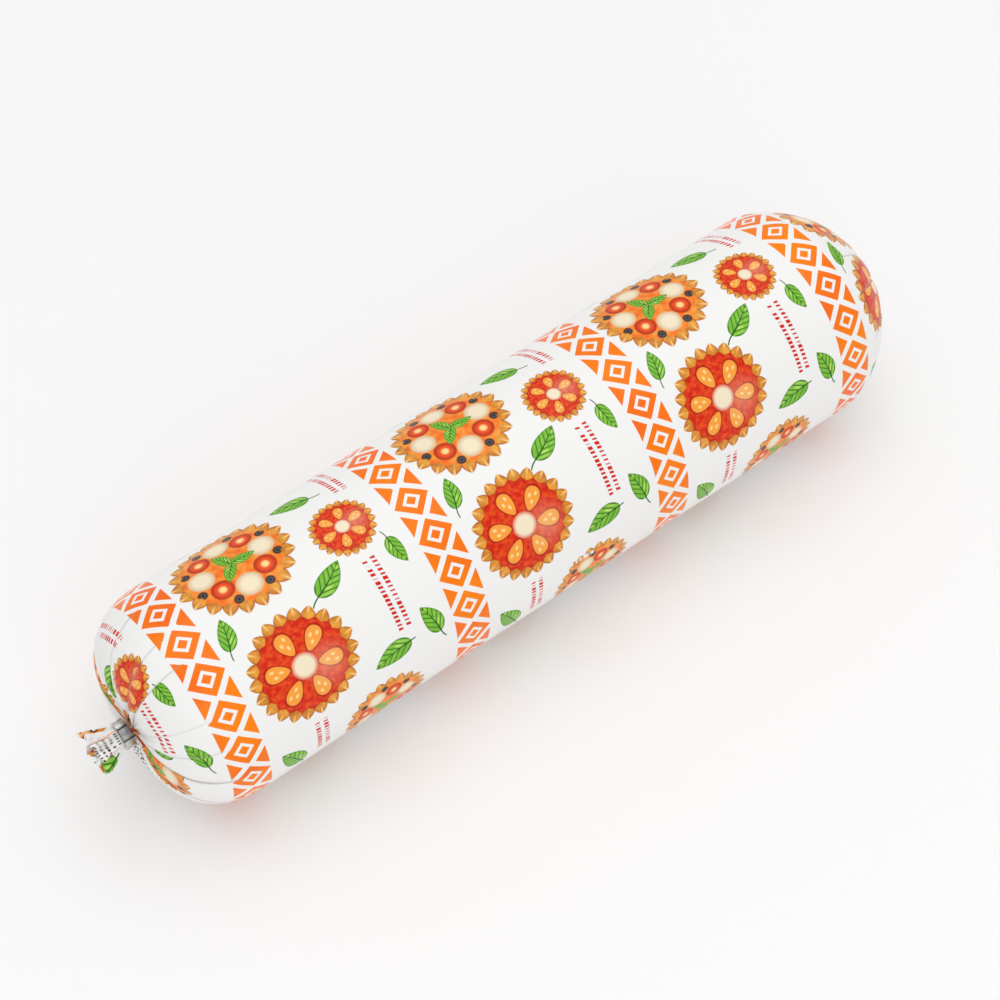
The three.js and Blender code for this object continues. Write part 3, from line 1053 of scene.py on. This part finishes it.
def print_dash_rows(net, film, color, ink):
    for u, v, half_length in DASH_ROWS:
        x, y = net.split(placed(net, film, u, v))
        row = net.math("SIGN", y)
        height = net.times(net.add(net.size(y), -ROWS_APART / 2), row)
        dash = dashes(net, x, height, row, DASH_PITCH, DASH_HALF)
        dash = net.both(dash, net.below(net.size(x), half_length))
        color = net.mix(dash, color, RED)
        ink = net.either(ink, dash)
    return color, ink


def print_motifs(net, film, color, ink):
    leaf = leaf_group()
    kinds = ((slice_group(), SLICES), (rosette_group(leaf), ROSETTES), (leaf, LEAVES))
    for tree, motifs in kinds:
        motif = net.node("Group", {"Place": in_nearest(net, film, motifs)}, node_tree=tree)
        color = net.mix(motif.outputs["Mask"], color, motif.outputs["Color"])
        ink = net.either(ink, motif.outputs["Mask"])
    return color, ink


def print_panel(net, film, color):
    """The plain panel on the underside, with rows of fine dark dashes."""
    u, v, half_width, half_length = PANEL
    x, y = net.split(placed(net, film, u, v, half_width=2 * REPEAT_HALF_WIDTH))
    past_x = net.add(net.size(x), PANEL_CORNER - half_width)
    past_y = net.add(net.size(y), PANEL_CORNER - half_length)
    outside = net.length(net.vector("MAXIMUM", net.join(past_x, past_y), (0, 0, 0)))
    color = net.mix(net.below(outside, PANEL_CORNER + PANEL_MARGIN, 0.1), color, WHITE_FILM)
    inner = net.below(PANEL_CORNER - PANEL_LINE, outside, 0.1)
    border = net.both(net.below(outside, PANEL_CORNER, 0.1), inner)
    color = net.mix(border, color, ORANGE)
    row = net.floor(net.over(y, PANEL_ROW))
    height = net.wrap(net.add(y, -PANEL_ROW / 2), PANEL_ROW / 2)
    fine = dashes(net, x, height, row, PANEL_PITCH, PANEL_DASH_HALF)
    return net.mix(net.both(fine, net.below(outside, 0.5)), color, GREY)


def print_band(net, film, color, ink):
    """Open lozenges with a filled heart, between pairs of triangles."""
    u, v = net.split(placed(net, film, 0, BAND_WIDTH / 2))
    height = net.size(v)
    inside = net.below(height, BAND_WIDTH / 2, 0.06)
    cell = net.size(net.wrap(u, BAND_CELL / 2))
    lozenge = net.add(net.over(cell, LOZENGE_HALF), net.over(height, BAND_WIDTH / 2))
    open_part = net.both(net.below(lozenge, 1.0), net.below(LOZENGE_OPENING, lozenge))
    heart = net.below(lozenge, LOZENGE_HEART)
    between = net.size(net.wrap(net.add(u, BAND_CELL / 2), BAND_CELL / 2))
    from_edge = net.over(net.minus(BAND_WIDTH / 2, height), WEDGE_HEIGHT)
    wedge = net.below(net.add(net.over(between, WEDGE_HALF), from_edge), WEDGE_SIZE)
    band = net.times(inside, net.either(open_part, heart, wedge))
    orange = net.mix(net.ramp(net.noise(film, 0.035), 0.35, 0.65), ORANGE, DEEP_ORANGE)
    return net.mix(band, color, orange), net.either(ink, band)


FILM_ROUGHNESS = (0.36, 0.28)  # bare and inked
FILM_SPECULAR = 0.14
FILM_COAT = 0.07
COAT_ROUGHNESS = 0.15
RIPPLES = (0.16, 0.05, 1)  # waves in each millimetre, across the film and along it
RIPPLE_HEIGHT = 0.35
CRINKLES = (0.9, 0.12, 1)
CRINKLE_HEIGHT = 0.9
# how dark the painted fold shade gets at most
PAINTED_FOLD_DARKNESS = 0.75


def film_material():
    material, net, shader = new_material("printed_film")
    film = net.node("UVMap", uv_map="film").outputs["UV"]
    film = net.vector("MULTIPLY", film, (PER_METRE, PER_METRE, 0))
    film = net.vector("SUBTRACT", film, (0, BAND_START * PER_METRE, 0))
    color, ink = print_dash_rows(net, film, WHITE_FILM, 0.0)
    color, ink = print_motifs(net, film, color, ink)
    color = print_panel(net, film, color)
    color, ink = print_band(net, film, color, ink)
    # shade painted into the colour along the creases and in the gathers' valleys
    painted_fold_shade = net.node("Attribute", attribute_name="painted_fold_shade").outputs["Fac"]
    color = net.mix(net.ramp(painted_fold_shade, 0.0, 1.0, 0.0, PAINTED_FOLD_DARKNESS), color, PAINTED_FOLD_SHADE)
    net.put(color, shader.inputs["Base Color"])
    net.put(net.ramp(ink, 0, 1, *FILM_ROUGHNESS), shader.inputs["Roughness"])
    shader.inputs["Specular IOR Level"].default_value = FILM_SPECULAR
    shader.inputs["Coat Weight"].default_value = FILM_COAT
    shader.inputs["Coat Roughness"].default_value = COAT_ROUGHNESS
    # fine ripples, and crinkles where the film is slack
    slack = net.node("Attribute", attribute_name="slack").outputs["Fac"]
    ripple = net.noise(net.vector("MULTIPLY", film, RIPPLES), 1.0, 2.0)
    crinkle = net.noise(net.vector("MULTIPLY", film, CRINKLES), 1.0, 3.0)
    crinkle = net.times(crinkle, net.times(slack, CRINKLE_HEIGHT))
    height = net.add(net.times(ripple, RIPPLE_HEIGHT), crinkle)
    bump = net.node("Bump", {"Height": height, "Strength": 0.35, "Distance": 0.4 * MM})
    net.put(bump.outputs[0], shader.inputs["Normal"])
    return material


BRIGHT_METAL = (0.66, 0.65, 0.635, 1)
DULL_METAL = (0.44, 0.435, 0.425, 1)
# the colour of the shade painted on the clip's raised block and grooves
PAINTED_CLIP_SHADE = (0.1, 0.1, 0.105, 1)
METAL_ROUGHNESS = (0.16, 0.34)
BRUSHED_FINENESS = (600, 7000, 7000)  # scratches in each metre, which run along the loaf
WEAR_FINENESS = 700.0


def clip_material():
    material, net, shader = new_material("crimped_aluminium")
    place = net.node("TexCoord").outputs["Object"]
    brushed = net.noise(net.vector("MULTIPLY", place, BRUSHED_FINENESS), 1.0, 3.0)
    worn = net.noise(place, WEAR_FINENESS, 4.0)
    color = net.mix(net.ramp(worn, 0.35, 0.7), BRIGHT_METAL, DULL_METAL)
    # shade painted into the metal's colour on the raised block and in its grooves
    painted_clip_shade = net.node("Attribute", attribute_name="painted_clip_shade").outputs["Fac"]
    color = net.mix(painted_clip_shade, color, PAINTED_CLIP_SHADE)
    net.put(color, shader.inputs["Base Color"])
    shader.inputs["Metallic"].default_value = 1
    net.put(net.ramp(brushed, 0.3, 0.7, *METAL_ROUGHNESS), shader.inputs["Roughness"])
    bump = net.node("Bump", {"Height": brushed, "Strength": 0.3, "Distance": 0.03 * MM})
    net.put(bump.outputs[0], shader.inputs["Normal"])
    return material


def floor_finish():
    material, _, shader = new_material("pale_floor")
    shader.inputs["Base Color"].default_value = (0.95, 0.95, 0.95, 1)
    shader.inputs["Roughness"].default_value = 0.9
    shader.inputs["Specular IOR Level"].default_value = 0
    return material


# ---------------------------------------------------------------- putting it together
casing = make_casing()
lengths = film_lengths(film_profile())
front_tail = make_tail("film_tail_front", FRONT, lengths[1])
back_tail = make_tail("film_tail_back", BACK, lengths[-2])
front_clip = make_clip("crimped_clip_front", FRONT)
back_clip = make_clip("crimped_clip_back", BACK)

film = film_material()
metal = clip_material()
for piece in (casing, front_tail, back_tail):
    only(piece)
    bpy.ops.object.shade_smooth()
    piece.data.materials.clear()
    piece.data.materials.append(film)
    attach(piece, "root")
    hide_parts("casing")
for piece, node in ((front_clip, "clip_front"), (back_clip, "clip_back")):
    piece.data.materials.clear()
    piece.data.materials.append(metal)
    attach(piece, "root")
    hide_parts(node)

# ---------------------------------------------------------------- floor, light and camera
CAMERA_AZIMUTH = math.radians(-38.52)
CAMERA_ELEVATION = math.radians(52.11)
CAMERA_DISTANCE = 748.57 * MM
CAMERA_RIGHT = 4.21 * MM
CAMERA_UP = 1.08 * MM
CAMERA_LENS = 68.34
CAMERA_SENSOR = 36
AIM_X = -12.4 * MM
FLOOR_SIDE = 40
LIGHTS = (  # the place, the size, and the power in watts
    ("key_light", (0.2, 0.1, 1.8), 1.8, 9),
    ("fill_light", (-0.6, -1.5, 0.9), 1.6, 7),
)
BRIGHTEST_SKY = (0, 0.35, 0.94)  # the direction it lies in
SKY_LEVELS = (0.62, 1.0)
SKY_STRENGTH = 0.8

bpy.ops.object.select_all(action="DESELECT")
bpy.ops.mesh.primitive_plane_add(size=FLOOR_SIDE)
floor = bpy.context.object
floor.name = "floor"
floor.data.materials.append(floor_finish())

level = math.cos(CAMERA_ELEVATION)
back = Vector((
    math.sin(CAMERA_AZIMUTH) * level,
    -math.cos(CAMERA_AZIMUTH) * level,
    math.sin(CAMERA_ELEVATION),
))
right = Vector((math.cos(CAMERA_AZIMUTH), math.sin(CAMERA_AZIMUTH), 0))
up = back.cross(right)
aim = Vector((AIM_X, 0, float(axis_height(AIM_X))))
place = aim + right * CAMERA_RIGHT + up * CAMERA_UP + back * CAMERA_DISTANCE
bpy.ops.object.camera_add(location=place)
camera = bpy.context.object
camera.rotation_mode = "QUATERNION"
camera.rotation_quaternion = (-back).to_track_quat("-Z", "Y")
camera.data.lens = CAMERA_LENS
camera.data.sensor_width = CAMERA_SENSOR
camera.data.clip_start = 0.01
bpy.context.scene.camera = camera


def soft_light(name, place, size, power):
    """A square lamp that points at the loaf."""
    bpy.ops.object.light_add(type="AREA", location=place)
    light = bpy.context.object
    light.name = name
    light.data.size = size
    light.data.energy = power
    light.rotation_mode = "QUATERNION"
    light.rotation_quaternion = (-Vector(place)).to_track_quat("-Z", "Y")


for light in LIGHTS:
    soft_light(*light)


def studio_world():
    """Soft white light from above and behind, falling off towards the camera's side."""
    world = bpy.data.worlds.new("studio")
    world.use_nodes = True
    net = Net(world.node_tree)
    direction = net.node("TexCoord").outputs["Generated"]
    facing = net.node("VectorMath", {0: direction, 1: BRIGHTEST_SKY}, operation="DOT_PRODUCT")
    level = net.ramp(facing.outputs["Value"], -0.1, 0.85, *SKY_LEVELS)
    background = world.node_tree.nodes["Background"]
    net.put(net.mix(level, (0, 0, 0, 1), (1, 1, 1, 1)), background.inputs["Color"])
    background.inputs["Strength"].default_value = SKY_STRENGTH
    bpy.context.scene.world = world


studio_world()
bpy.context.scene.view_settings.view_transform = "Standard"
